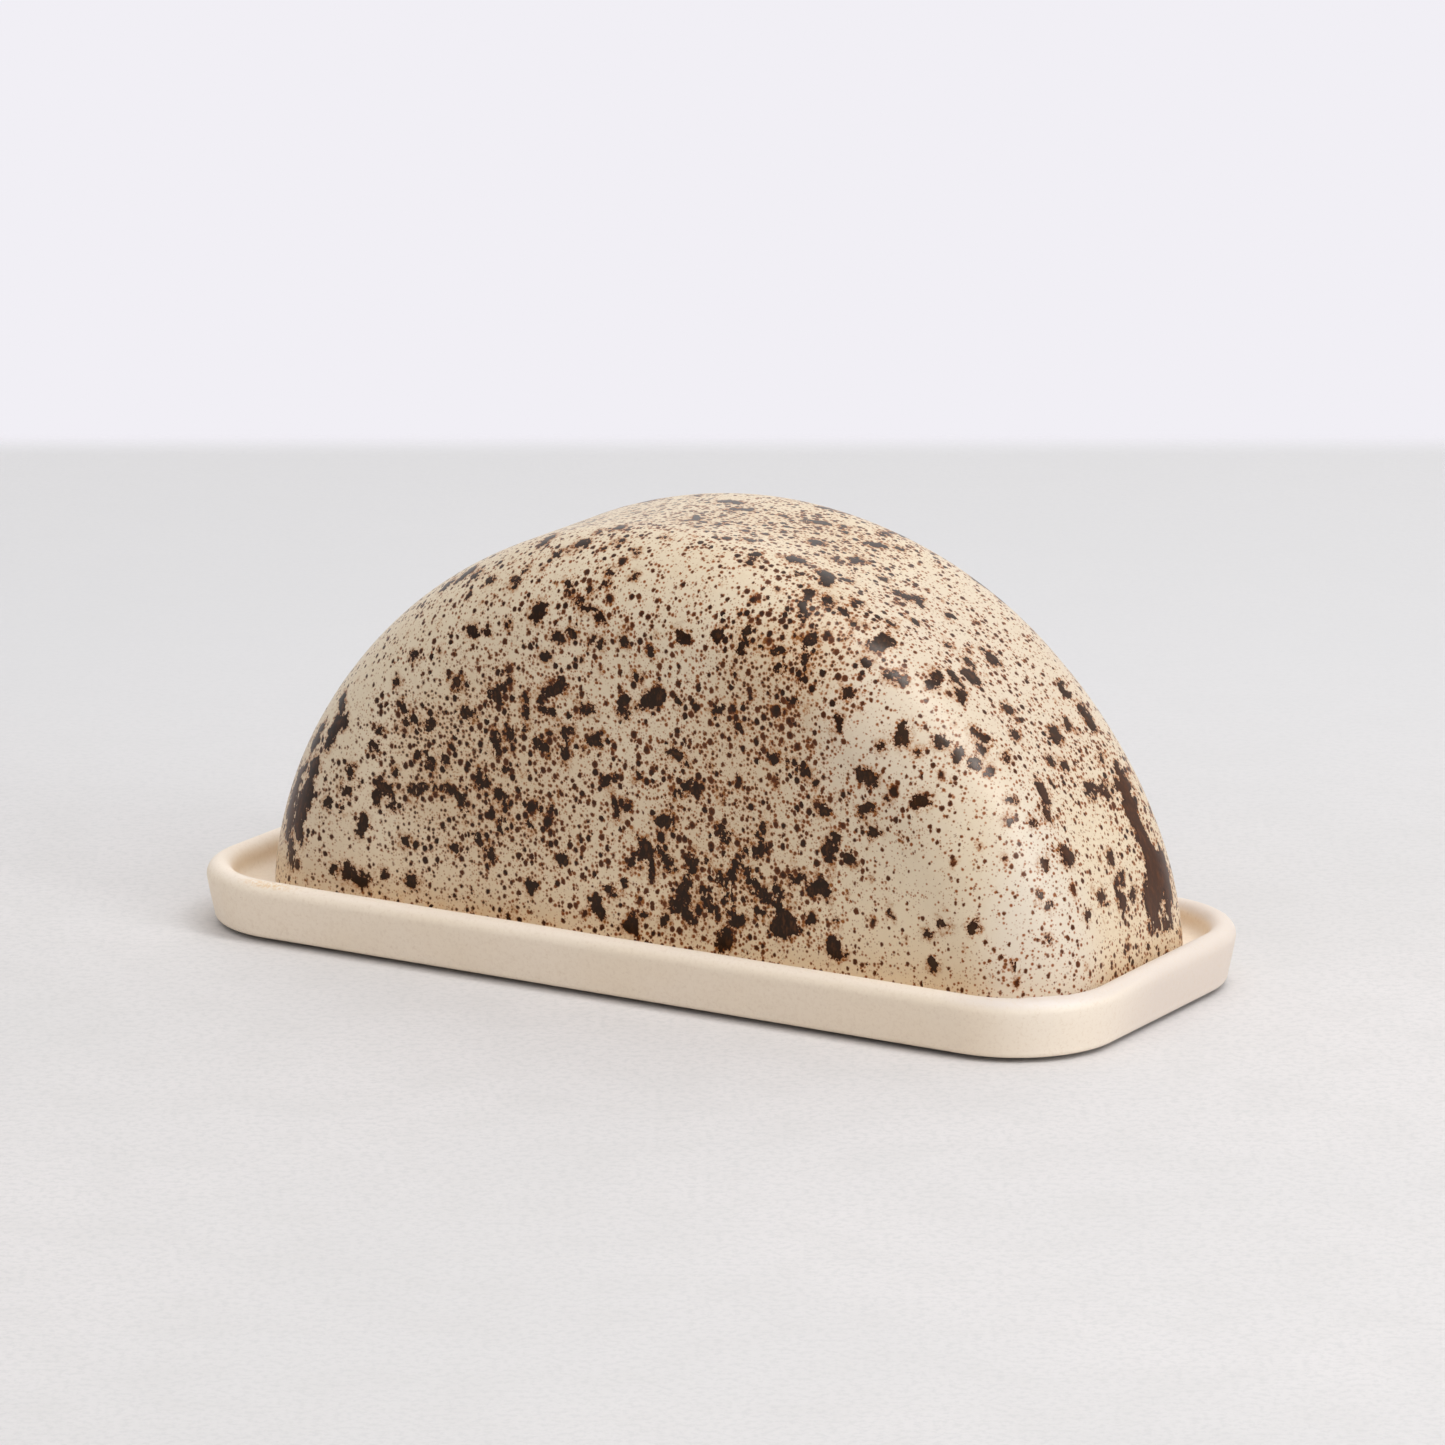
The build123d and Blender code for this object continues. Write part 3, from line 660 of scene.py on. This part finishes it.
tb, TV, TN = build_tray()
wave = lattice_noise(TV / [34.0, 34.0, 12.0], 11) * 0.7 + lattice_noise(TV / 13.0, 12) * 0.2
foot = smoothstep(0.3, 2.5, TV[:, 2])
off_floor = np.where((np.abs(TV[:, 0]) < TL / 2 - 7.5) & (np.abs(TV[:, 1]) < TW / 2 - 7.5) & (TV[:, 2] > 5), 0.0, 1.0)
TV = TV + TN * ((wave * 0.13 - 0.13) * foot * off_floor)[:, None]
tray = make_mesh("tray_body", TV, tb.outward(TV, TN))


# --------------------------------------------------------------------------
# Materials
# --------------------------------------------------------------------------
class Nodes:
    def __init__(self, name):
        self.mat = bpy.data.materials.new(name)
        self.mat.use_nodes = True
        self.t = self.mat.node_tree
        self.t.nodes.clear()

    def node(self, kind, **props):
        n = self.t.nodes.new(kind)
        for k, v in props.items():
            setattr(n, k, v)
        return n

    def put(self, sock, val):
        if isinstance(val, bpy.types.NodeSocket):
            self.t.links.new(val, sock)
        elif val is not None:
            sock.default_value = val

    def math(self, op, a, b=None, c=None, clamp=False):
        n = self.node("ShaderNodeMath", operation=op, use_clamp=clamp)
        self.put(n.inputs[0], a)
        if b is not None:
            self.put(n.inputs[1], b)
        if c is not None:
            self.put(n.inputs[2], c)
        return n.outputs[0]

    def vmath(self, op, a, b=None, scale=None):
        n = self.node("ShaderNodeVectorMath", operation=op)
        self.put(n.inputs[0], a)
        if b is not None:
            self.put(n.inputs[1], b)
        if scale is not None:
            self.put(n.inputs["Scale"], scale)
        return n.outputs[0]

    def span(self, v, a, b, c=0.0, d=1.0, smooth=True):
        n = self.node("ShaderNodeMapRange", interpolation_type="SMOOTHSTEP" if smooth else "LINEAR")
        n.clamp = True
        self.put(n.inputs["Value"], v)
        for k, q in (("From Min", a), ("From Max", b), ("To Min", c), ("To Max", d)):
            self.put(n.inputs[k], q)
        return n.outputs["Result"]

    def noise(self, vec, scale, detail=2.0, rough=0.5, distortion=0.0):
        n = self.node("ShaderNodeTexNoise", noise_dimensions="3D")
        self.put(n.inputs["Vector"], vec)
        self.put(n.inputs["Scale"], scale)
        self.put(n.inputs["Detail"], detail)
        self.put(n.inputs["Roughness"], rough)
        self.put(n.inputs["Distortion"], distortion)
        return n.outputs["Fac"], n.outputs["Color"]

    def cells(self, vec, scale, feature="F1", randomness=1.0, smooth=None):
        n = self.node("ShaderNodeTexVoronoi", voronoi_dimensions="3D", feature=feature)
        self.put(n.inputs["Vector"], vec)
        self.put(n.inputs["Scale"], scale)
        self.put(n.inputs["Randomness"], randomness)
        if smooth is not None:
            self.put(n.inputs["Smoothness"], smooth)
        return n.outputs["Distance"], n.outputs.get("Color")

    def mix(self, f, a, b):
        n = self.node("ShaderNodeMix", data_type="RGBA")
        self.put(n.inputs[0], f)
        self.put(n.inputs[6], a)
        self.put(n.inputs[7], b)
        return n.outputs[2]

    def sep(self, v):
        n = self.node("ShaderNodeSeparateXYZ")
        self.put(n.inputs[0], v)
        return n.outputs

    def attr(self, name):
        n = self.node("ShaderNodeAttribute", attribute_type="GEOMETRY", attribute_name=name)
        return n.outputs["Fac"]

    def coords(self):
        return self.node("ShaderNodeTexCoord").outputs["Object"]

    def bump(self, height, strength, distance):
        n = self.node("ShaderNodeBump")
        self.put(n.inputs["Height"], height)
        n.inputs["Strength"].default_value = strength
        n.inputs["Distance"].default_value = distance
        return n.outputs["Normal"]

    def finish(self, color, rough, normal=None, **fixed):
        s = self.node("ShaderNodeBsdfPrincipled")
        self.put(s.inputs["Base Color"], color)
        self.put(s.inputs["Roughness"], rough)
        if normal is not None:
            self.put(s.inputs["Normal"], normal)
        for k, v in fixed.items():
            s.inputs[k.replace("_", " ")].default_value = v
        o = self.node("ShaderNodeOutputMaterial")
        self.t.links.new(s.outputs[0], o.inputs[0])
        return self.mat


def rgb(r, g, b):
    """sRGB 0-255 to linear."""
    def lin(c):
        c /= 255.0
        return c / 12.92 if c <= 0.04045 else ((c + 0.055) / 1.055) ** 2.4
    return (lin(r), lin(g), lin(b), 1.0)


def cover_material():
    m = Nodes("speckled_glaze")
    P = m.vmath("SCALE", m.coords(), scale=1000.0)      # millimetres
    x, y, z = m.sep(P)
    dens = m.attr("dens")
    blot = m.attr("blot")
    # a ragged warp, and a pull downwards as the glaze ran
    _, wc = m.noise(P, 0.5, 2.0, 0.6)
    _, wf = m.noise(P, 1.7, 2.0, 0.55)
    warp = m.vmath("SCALE", m.vmath("SUBTRACT", wc, (0.5, 0.5, 0.5)), scale=1.5)
    warp_f = m.vmath("SCALE", m.vmath("SUBTRACT", wf, (0.5, 0.5, 0.5)), scale=0.55)
    Pw = m.vmath("ADD", P, warp)
    Pm = m.vmath("MULTIPLY", m.vmath("ADD", Pw, warp_f), (1.0, 1.0, 0.72))
    Ps = m.vmath("MULTIPLY", m.vmath("ADD", P, warp_f), (1.0, 1.0, 0.86))
    # the spray came in bursts, so small spots gather in clumps and chains
    n5, _ = m.noise(P, 0.22, 3.0, 0.6)
    burst = m.math("MULTIPLY_ADD", m.math("SUBTRACT", n5, 0.5), 4.2, dens)

    def spots(cell, lo, hi, power, gain, vec):
        """Millimetres inside the nearest sprayed spot, and a random number for each spot."""
        d, c = m.cells(vec, 1.0 / cell)
        rnd = m.sep(c)
        r = m.math("MULTIPLY_ADD", m.math("POWER", rnd[0], power), hi - lo, lo)
        r = m.math("MINIMUM", m.math("MULTIPLY_ADD", burst, gain, r), cell * 0.46)
        return m.math("MULTIPLY_ADD", d, -cell, r), rnd[1]

    n2, _ = m.noise(P, 0.85, 3.0, 0.62)
    n6, _ = m.noise(P, 2.7, 2.0, 0.6)
    n3, _ = m.noise(P, 0.28, 3.0, 0.6)
    fray = m.math("MULTIPLY", m.math("SUBTRACT", n6, 0.5), 1.0)
    edge = m.math("MULTIPLY_ADD", m.math("SUBTRACT", n2, 0.47), 3.4, fray)
    medium, tone_m = spots(4.4, -0.55, 0.94, 1.0, 0.30, Pm)
    medium = m.math("MULTIPLY_ADD", fray, 0.7, medium)
    small, tone_s = spots(1.50, -0.08, 0.60, 1.0, 0.17, m.vmath("ADD", Ps, (31.0, 7.0, 13.0)))
    fine, tone_f = spots(0.90, -0.02, 0.44, 1.1, 0.11, m.vmath("ADD", P, (3.0, 57.0, 23.0)))
    rusty, _ = spots(0.55, 0.01, 0.31, 1.0, 0.05, m.vmath("ADD", P, (83.0, 5.0, 41.0)))
    # on the narrow ends the glaze ran straight down, in threads, and left slits bare at the foot
    ends = m.span(m.math("ABSOLUTE", m.math("SUBTRACT", x, CX)), 77.0, 85.0)
    n8, _ = m.noise(m.vmath("MULTIPLY", P, (1.0, 1.0, 0.2)), 0.95, 3.0, 0.62)
    thread = m.math("MULTIPLY", m.math("SUBTRACT", n8, 0.5), m.math("MULTIPLY", ends, m.span(x, CX + 40.0, CX - 40.0, 3.2, 7.5)))
    slit = m.math("MULTIPLY", m.span(z, SEAT_Z + 17.0, SEAT_Z + 8.0), m.math("MULTIPLY", m.span(n8, 0.50, 0.62), ends))
    big = m.math("ADD", m.math("SUBTRACT", edge, blot), m.math("MULTIPLY_ADD", slit, -3.0, thread))
    # where the spray is thickest slits of cream break the patches, so that they fork
    n9, _ = m.noise(m.vmath("MULTIPLY", P, (1.0, 1.0, 0.55)), 0.85, 3.0, 0.62)
    fork = m.math("MULTIPLY", m.span(n9, 0.54, 0.62), m.math("MULTIPLY", m.span(dens, 0.45, 0.95), m.math("SUBTRACT", 1.0, ends)))
    big = m.math("MULTIPLY_ADD", fork, -1.1, big)
    large = m.math("MAXIMUM", medium, big)
    v = m.math("MAXIMUM", large, small)
    # the larger spots bleed into the glaze about them in short uneven rays
    n7, _ = m.noise(P, 1.7, 3.0, 0.7)
    bleed = m.math("MULTIPLY_ADD", m.math("SUBTRACT", n7, 0.5), 1.9, large)

    g1, _ = m.noise(P, 0.05, 3.0, 0.55)
    g2, _ = m.noise(P, 0.6, 3.0, 0.6)
    cream = m.mix(m.span(g1, 0.35, 0.65), rgb(230, 213, 186), rgb(226, 208, 180))
    cream = m.mix(m.span(g2, 0.45, 0.7, 0.0, 0.3), cream, rgb(216, 193, 160))
    # thin glaze by the lip and where it pooled among dense speckle
    amber = m.span(z, SEAT_Z + 8.5, SEAT_Z + 2.0)
    cream = m.mix(m.span(z, SEAT_Z + 22.0, SEAT_Z + 4.0, 0.0, 0.20), cream, rgb(236, 206, 163))
    patchy = m.math("MULTIPLY", m.span(n3, 0.38, 0.62, 0.12, 0.62), m.span(x, 20.0, -45.0, 0.5, 1.0))
    cream = m.mix(m.math("MULTIPLY", amber, patchy), cream, rgb(222, 186, 138))
    # painted light: the glaze is painted paler low on the front, from the middle towards the right, where the light
    # falls; on the right shoulder of the front it turns a greyer, darker cream
    front_painted_light = m.math("MULTIPLY", m.span(x, -45.0, 15.0), m.math("MULTIPLY", m.span(x, 80.0, 62.0), m.span(z, 42.0, 18.0)))
    cream = m.mix(m.math("MULTIPLY", front_painted_light, 0.55), cream, rgb(241, 222, 190))
    shoulder = m.math("MULTIPLY", m.span(x, 30.0, 58.0), m.span(z, 34.0, 58.0))
    cream = m.mix(m.math("MULTIPLY", shoulder, 0.5), cream, rgb(220, 205, 186))
    cream = m.mix(m.span(dens, 0.1, 1.1, 0.0, 0.40), cream, rgb(206, 176, 138))
    # painted highlight: the glaze is painted whiter down the right-hand front corner; painted shade: it is painted
    # darker low on the left-hand end
    # painted highlight down the right-hand front corner
    corner = m.math("MULTIPLY", m.span(x, 77.0, 87.0), m.span(y, -8.0, -23.0))
    cream = m.mix(m.math("MULTIPLY", corner, 0.8), cream, rgb(226, 214, 197))
    end_painted_shade = m.math("MULTIPLY", m.span(x, -58.0, -73.0), m.span(z, 48.0, 26.0))
    cream = m.mix(m.math("MULTIPLY", end_painted_shade, 0.8), cream, rgb(219, 200, 173))
    # rust: specks, a thin rim to every spot, and soft clouds about the patches
    lit_side_warmth = m.span(x, -75.0, 15.0)                        # how far right: rust, with painted light that makes the spots warmer and lighter towards the lit right
    col = m.mix(m.span(rusty, -0.02, 0.14, 0.0, 0.62), cream, rgb(160, 92, 36))
    col = m.mix(m.math("MULTIPLY", m.span(fine, -0.15, 0.05), m.span(lit_side_warmth, 0.0, 1.0, 0.42, 0.80)), col, rgb(166, 90, 22))
    crowd = m.math("MULTIPLY_ADD", dens, 0.45, tone_f)
    col = m.mix(m.span(fine, 0.02, 0.13, 0.0, 0.88), col, m.mix(m.span(m.math("MULTIPLY_ADD", lit_side_warmth, -0.35, crowd), -0.15, 0.35), rgb(122, 58, 12), rgb(44, 19, 5)))
    haze = m.math("MULTIPLY", m.span(big, -1.7, 0.0), m.span(n3, 0.40, 0.58))
    col = m.mix(m.math("MULTIPLY", haze, 0.42), col, rgb(160, 104, 52))
    col = m.mix(m.math("MULTIPLY", m.span(bleed, -0.80, 0.10), m.span(lit_side_warmth, 0.0, 1.0, 0.30, 0.56)), col, rgb(180, 112, 44))
    col = m.mix(m.math("MULTIPLY", m.span(bleed, -0.16, 0.30), m.span(lit_side_warmth, 0.0, 1.0, 0.55, 0.78)), col, rgb(108, 54, 20))
    col = m.mix(m.math("MULTIPLY", m.span(v, -0.20, 0.0), m.span(lit_side_warmth, 0.0, 1.0, 0.70, 0.92)), col, rgb(124, 62, 20))
    sparse = m.math("MULTIPLY", m.span(dens, 0.25, -0.35, 0.0, 0.7), m.span(v, 0.40, 0.08))
    tone = m.math("MULTIPLY", m.math("MAXIMUM", m.span(tone_s, 0.55, 0.95), sparse), m.span(big, 0.2, -0.2))
    # painted light: the ink of the spots is lighter on the lit right and darker on the shaded left
    ink = m.mix(tone, rgb(38, 15, 5), m.mix(lit_side_warmth, rgb(66, 31, 12), rgb(92, 44, 14)))
    deep = m.mix(m.span(x, 40.0, 78.0), rgb(29, 12, 4), rgb(52, 29, 10))
    ink = m.mix(m.span(v, 0.10, 0.75), ink, m.mix(ends, deep, rgb(66, 36, 18)))
    col = m.mix(m.span(v, -0.06, 0.10), col, ink)
    # the middles of the big patches break brown again
    n4, _ = m.noise(m.vmath("MULTIPLY", P, (1.0, 1.0, 0.45)), 0.9, 4.0, 0.65)
    brown = m.math("MULTIPLY", m.span(big, 0.30, 1.1), m.span(n4, 0.45, 0.68))
    col = m.mix(m.math("MULTIPLY", brown, 0.55), col, rgb(102, 58, 28))
    # inside of the cover: plain thin glaze
    inside = m.math("SUBTRACT", 1.0, m.attr("outside"))
    plain = m.mix(m.span(g2, 0.4, 0.7), rgb(224, 207, 180), rgb(216, 196, 164))
    plain = m.mix(m.span(rusty, 0.12, 0.24, 0.0, 0.45), plain, rgb(160, 110, 66))
    col = m.mix(inside, col, plain)
    rough = m.span(v, -0.1, 0.4, 0.40, 0.30)
    h = m.math("ADD", m.math("MULTIPLY", m.span(v, -0.2, 0.5), 0.22), m.math("MULTIPLY", g2, 0.35))
    normal = m.bump(h, 0.35, 0.00018)
    return m.finish(col, rough, normal, IOR=1.5, Specular_IOR_Level=0.30, Specular_Tint=(1.0, 0.82, 0.67, 1.0))


def tray_material():
    m = Nodes("cream_clay")
    P = m.vmath("SCALE", m.coords(), scale=1000.0)
    g1, _ = m.noise(P, 0.04, 3.0, 0.5)
    g2, _ = m.noise(P, 0.9, 4.0, 0.6)
    g3, _ = m.noise(P, 5.0, 2.0, 0.6)
    col = m.mix(m.span(g1, 0.35, 0.65), rgb(248, 232, 211), rgb(246, 229, 206))
    col = m.mix(m.span(g2, 0.45, 0.75, 0.0, 0.35), col, rgb(233, 213, 190))
    col = m.mix(m.span(g3, 0.62, 0.8, 0.0, 0.3), col, rgb(212, 186, 156))
    # painted light and shade: the top of the rim and the right-hand end are painted paler, and painted shade greys and
    # darkens the crest near the right-hand end and the end itself
    x, y, z = m.sep(P)
    col = m.mix(m.span(z, 11.2, 12.8, 0.0, 0.6), col, rgb(248, 234, 219))
    col = m.mix(m.span(x, 84.0, 98.0, 0.0, 0.6), col, rgb(250, 238, 222))
    crest = m.math("MULTIPLY", m.span(z, 10.6, 12.4), m.span(x, 74.0, 90.0))
    end = m.math("MULTIPLY", m.span(x, 94.0, 104.0), m.span(y, -34.0, -2.0))
    rim_painted_shade = m.math("MAXIMUM", crest, end)
    col = m.mix(m.math("MULTIPLY", rim_painted_shade, 0.92), col, rgb(228, 214, 202))
    # iron specks in the clay, and a smear of the cover's amber glaze on the crest of the rim
    d, c = m.cells(P, 1.0 / 7.0)
    speck = m.math("MULTIPLY_ADD", d, -7.0, m.math("MULTIPLY_ADD", m.sep(c)[0], 0.9, -0.45))
    col = m.mix(m.span(speck, 0.0, 0.2, 0.0, 0.5), col, rgb(176, 138, 100))
    g4, _ = m.noise(P, 1.5, 3.0, 0.65)
    col = m.mix(m.span(g4, 0.50, 0.72, 0.0, 0.4), col, rgb(228, 207, 182))
    away = m.vmath("MULTIPLY", m.vmath("SUBTRACT", P, (-80.0, -43.5, 12.7)), (0.10, 0.50, 0.8))
    near = m.node("ShaderNodeVectorMath", operation="LENGTH")
    m.put(near.inputs[0], away)
    smear = m.math("MULTIPLY", m.span(near.outputs["Value"], 1.0, 0.2), m.span(g4, 0.40, 0.58))
    col = m.mix(m.math("MULTIPLY", smear, 0.6), col, rgb(232, 190, 128))
    # painted shade: the bare clay in the step under the heel is painted dark, deepening the contact shadow under the
    # tray
    heel_painted_shade = m.math("MULTIPLY", m.span(z, 1.02, 0.84), m.span(z, 0.06, 0.30, 0.15, 0.95))
    col = m.mix(heel_painted_shade, col, rgb(56, 43, 34))
    h = m.math("ADD", m.math("MULTIPLY", g2, 0.5), m.math("MULTIPLY", g3, 0.4))
    normal = m.bump(h, 0.3, 0.00012)
    return m.finish(col, m.span(g2, 0.3, 0.7, 0.46, 0.58), normal, IOR=1.5)


def floor_material():
    m = Nodes("pale_table")
    P = m.coords()
    g1, _ = m.noise(P, 5.0, 4.0, 0.55)
    g2, _ = m.noise(P, 60.0, 3.0, 0.6)
    col = m.mix(m.span(g1, 0.35, 0.65), rgb(222, 219, 218), rgb(227, 223, 222))
    col = m.mix(m.span(g2, 0.4, 0.7, 0.0, 0.3), col, rgb(216, 213, 211))
    g3, _ = m.noise(P, 620.0, 3.0, 0.7)
    col = m.mix(m.span(g3, 0.42, 0.68, 0.0, 0.55), col, rgb(209, 207, 206))
    # painted light: the table is painted lighter towards the back
    col = m.mix(m.span(m.sep(P)[1], -0.02, 0.28, 0.0, 0.8), col, rgb(223, 222, 223))
    normal = m.bump(m.math("MULTIPLY_ADD", g3, 0.6, g2), 0.25, 0.0004)
    s = m.node("ShaderNodeBsdfPrincipled")
    m.put(s.inputs["Base Color"], col)
    s.inputs["Roughness"].default_value = 0.95
    s.inputs["Specular IOR Level"].default_value = 0.08
    m.put(s.inputs["Normal"], normal)
    # the far edge melts into the wall behind it
    t = m.node("ShaderNodeBsdfTransparent")
    yy = m.sep(P)[1]
    fade = m.span(yy, EDGE_Y - 0.030, EDGE_Y)
    mx = m.node("ShaderNodeMixShader")
    m.put(mx.inputs[0], fade)
    m.t.links.new(s.outputs[0], mx.inputs[1])
    m.t.links.new(t.outputs[0], mx.inputs[2])
    o = m.node("ShaderNodeOutputMaterial")
    m.t.links.new(mx.outputs[0], o.inputs[0])
    return m.mat


cover.data.materials.append(cover_material())
tray.data.materials.append(tray_material())
for piece, node, slot, body in (
    (cover, "cover", "cover_glaze", "cover"),
    (tray, "tray", "tray_clay", "tray"),
):
    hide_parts(node)
    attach(piece, body)

# --------------------------------------------------------------------------
# Camera, floor, light
# --------------------------------------------------------------------------
AZ, EL = math.radians(30.95), math.radians(14.09)
DIST = 1.697
TARGET = Vector((0.00182, 0.0, 0.04780))
back = Vector((math.sin(AZ) * math.cos(EL), -math.cos(AZ) * math.cos(EL), math.sin(EL)))
cam = bpy.data.objects.new("camera", bpy.data.cameras.new("camera"))
bpy.context.scene.collection.objects.link(cam)
cam.location = TARGET + back * DIST
cam.rotation_mode = "QUATERNION"
cam.rotation_quaternion = (-back).to_track_quat("-Z", "Y")
cam.data.sensor_width = 36.0
cam.data.lens = 8417.0 / 1445.0 * 36.0
cam.data.clip_start, cam.data.clip_end = 0.05, 30.0
bpy.context.scene.camera = cam

EDGE_Y = 0.500
side = 4.0
fl = bpy.data.meshes.new("table_top")
nx, ny = 24, 16
xs = np.linspace(-side, side, nx + 1)
ys = np.concatenate([np.linspace(-side, -0.2, ny // 2), np.linspace(0.0, EDGE_Y, ny // 2 + 1)])
gx, gy = np.meshgrid(xs, ys)
fv = np.stack([gx.ravel(), gy.ravel(), np.zeros(gx.size)], 1)
idx = np.arange(gx.size).reshape(gx.shape)
ff = np.stack([idx[:-1, :-1], idx[:-1, 1:], idx[1:, 1:], idx[1:, :-1]], -1).reshape(-1, 4)
fl.from_pydata(fv.tolist(), [], ff.tolist())
floor = bpy.data.objects.new("table_top", fl)
floor.rotation_euler = (0, 0, AZ)
bpy.context.scene.collection.objects.link(floor)
floor.data.materials.append(floor_material())


def panel(name, direction, dist, w, h, radiance, color=(1, 1, 1)):
    """A soft rectangular light that faces the dish. radiance is what the panel looks like."""
    d = bpy.data.lights.new(name, "AREA")
    d.shape = "RECTANGLE"
    d.size, d.size_y = w, h
    d.energy = radiance * math.pi * w * h
    d.color = color
    o = bpy.data.objects.new(name, d)
    v = Vector(direction).normalized()
    o.location = Vector((0, 0, 0.04)) + v * dist
    o.rotation_mode = "QUATERNION"
    o.rotation_quaternion = v.to_track_quat("Z", "Y")
    bpy.context.scene.collection.objects.link(o)
    return o


SIDE = Vector((math.cos(AZ), math.sin(AZ), 0.0))        # to the right of the dish, seen from the front
NEAR = Vector((math.sin(AZ), -math.cos(AZ), 0.0))       # towards the viewer
UP = Vector((0.0, 0.0, 1.0))
# A tall curved softbox: it rises at the right and reaches over the dish, and shows as the
# soft band of light along the cover's rounded edge.
for k, (turn, radiance, dist) in enumerate(((6, 3.2, 1.5), (28, 8.7, 1.5), (49, 6.5, 1.5), (68, 5.0, 1.9), (86, 4.7, 2.5))):
    phi = math.radians(turn)
    grow = dist / 1.5
    lamp = panel(
        "softbox_%d" % k, (math.sin(phi), -0.06, math.cos(phi)), dist, 0.26 * grow, 0.54 * grow, radiance, (0.97, 0.98, 0.985)
    )
    lamp.visible_camera = False
# its bright core, which only the gloss of the glaze picks up
for k, (turn, radiance) in enumerate(((10, 4.0), (31, 12.5), (52, 13.5), (73, 5.5))):
    phi = math.radians(turn)
    lamp = panel("core_%d" % k, (math.sin(phi), -0.06, math.cos(phi)), 1.48, 0.34, 0.54, radiance, (0.78, 0.95, 1.15))
    lamp.visible_camera = False
    lamp.visible_diffuse = False
panel("wall_panel", SIDE * 0.1 - NEAR * 0.75 + UP * 0.6, 1.5, 1.0, 1.0, 0.38)

# A white room: an even glow, more from the ceiling and some from the far wall.
world = bpy.data.worlds.new("studio")
bpy.context.scene.world = world
world.use_nodes = True
wt = world.node_tree
wt.nodes.clear()
way = wt.nodes.new("ShaderNodeTexCoord").outputs["Generated"]


def glow(direction, strength):
    dot = wt.nodes.new("ShaderNodeVectorMath")
    dot.operation = "DOT_PRODUCT"
    wt.links.new(way, dot.inputs[0])
    dot.inputs[1].default_value = direction.normalized()
    low = wt.nodes.new("ShaderNodeMath")
    low.operation = "MAXIMUM"
    wt.links.new(dot.outputs["Value"], low.inputs[0])
    low.inputs[1].default_value = 0.0
    sq = wt.nodes.new("ShaderNodeMath")
    sq.operation = "MULTIPLY"
    wt.links.new(low.outputs[0], sq.inputs[0])
    wt.links.new(low.outputs[0], sq.inputs[1])
    out = wt.nodes.new("ShaderNodeMath")
    out.operation = "MULTIPLY"
    wt.links.new(sq.outputs[0], out.inputs[0])
    out.inputs[1].default_value = strength
    return out.outputs[0]


def total(a, b):
    n = wt.nodes.new("ShaderNodeMath")
    n.operation = "ADD"
    for sock, val in zip(n.inputs, (a, b)):
        if isinstance(val, float):
            sock.default_value = val
        else:
            wt.links.new(val, sock)
    return n.outputs[0]


def ramp(value, lo, hi, a, b):
    n = wt.nodes.new("ShaderNodeMapRange")
    n.interpolation_type = "SMOOTHSTEP"
    wt.links.new(value, n.inputs["Value"])
    for key, q in (("From Min", lo), ("From Max", hi), ("To Min", a), ("To Max", b)):
        n.inputs[key].default_value = q
    return n.outputs["Result"]


def times(a, b):
    n = wt.nodes.new("ShaderNodeMath")
    n.operation = "MULTIPLY"
    wt.links.new(a, n.inputs[0])
    wt.links.new(b, n.inputs[1])
    return n.outputs[0]


split = wt.nodes.new("ShaderNodeSeparateXYZ")
wt.links.new(way, split.inputs[0])
toward = wt.nodes.new("ShaderNodeVectorMath")
toward.operation = "DOT_PRODUCT"
wt.links.new(way, toward.inputs[0])
toward.inputs[1].default_value = NEAR
low_front = times(ramp(split.outputs[2], 0.06, 0.26, 1.0, 0.0), ramp(toward.outputs["Value"], -0.1, 0.5, 0.0, 0.93))
keep_light = ramp(low_front, 0.0, 1.0, 1.0, 0.0)

bg_light = wt.nodes.new("ShaderNodeBackground")
bg_light.inputs["Color"].default_value = (0.99, 0.99, 1.0, 1)
wt.links.new(
    times(total(total(glow(UP, 0.31), glow(UP * 0.15 - NEAR, 0.57)), total(glow(UP * 0.4 + NEAR, 0.36), 0.42)), keep_light),
    bg_light.inputs["Strength"],
)
bg_seen = wt.nodes.new("ShaderNodeBackground")
bg_seen.inputs["Color"].default_value = rgb(241, 239, 245)
bg_seen.inputs["Strength"].default_value = 1.0
lp = wt.nodes.new("ShaderNodeLightPath")
mixw = wt.nodes.new("ShaderNodeMixShader")
wo = wt.nodes.new("ShaderNodeOutputWorld")
wt.links.new(lp.outputs["Is Camera Ray"], mixw.inputs[0])
wt.links.new(bg_light.outputs[0], mixw.inputs[1])
wt.links.new(bg_seen.outputs[0], mixw.inputs[2])
wt.links.new(mixw.outputs[0], wo.inputs[0])

sc = bpy.context.scene
sc.view_settings.view_transform = "Standard"
sc.view_settings.look = "None"
sc.view_settings.exposure = 0.0
sc.view_settings.gamma = 1.0
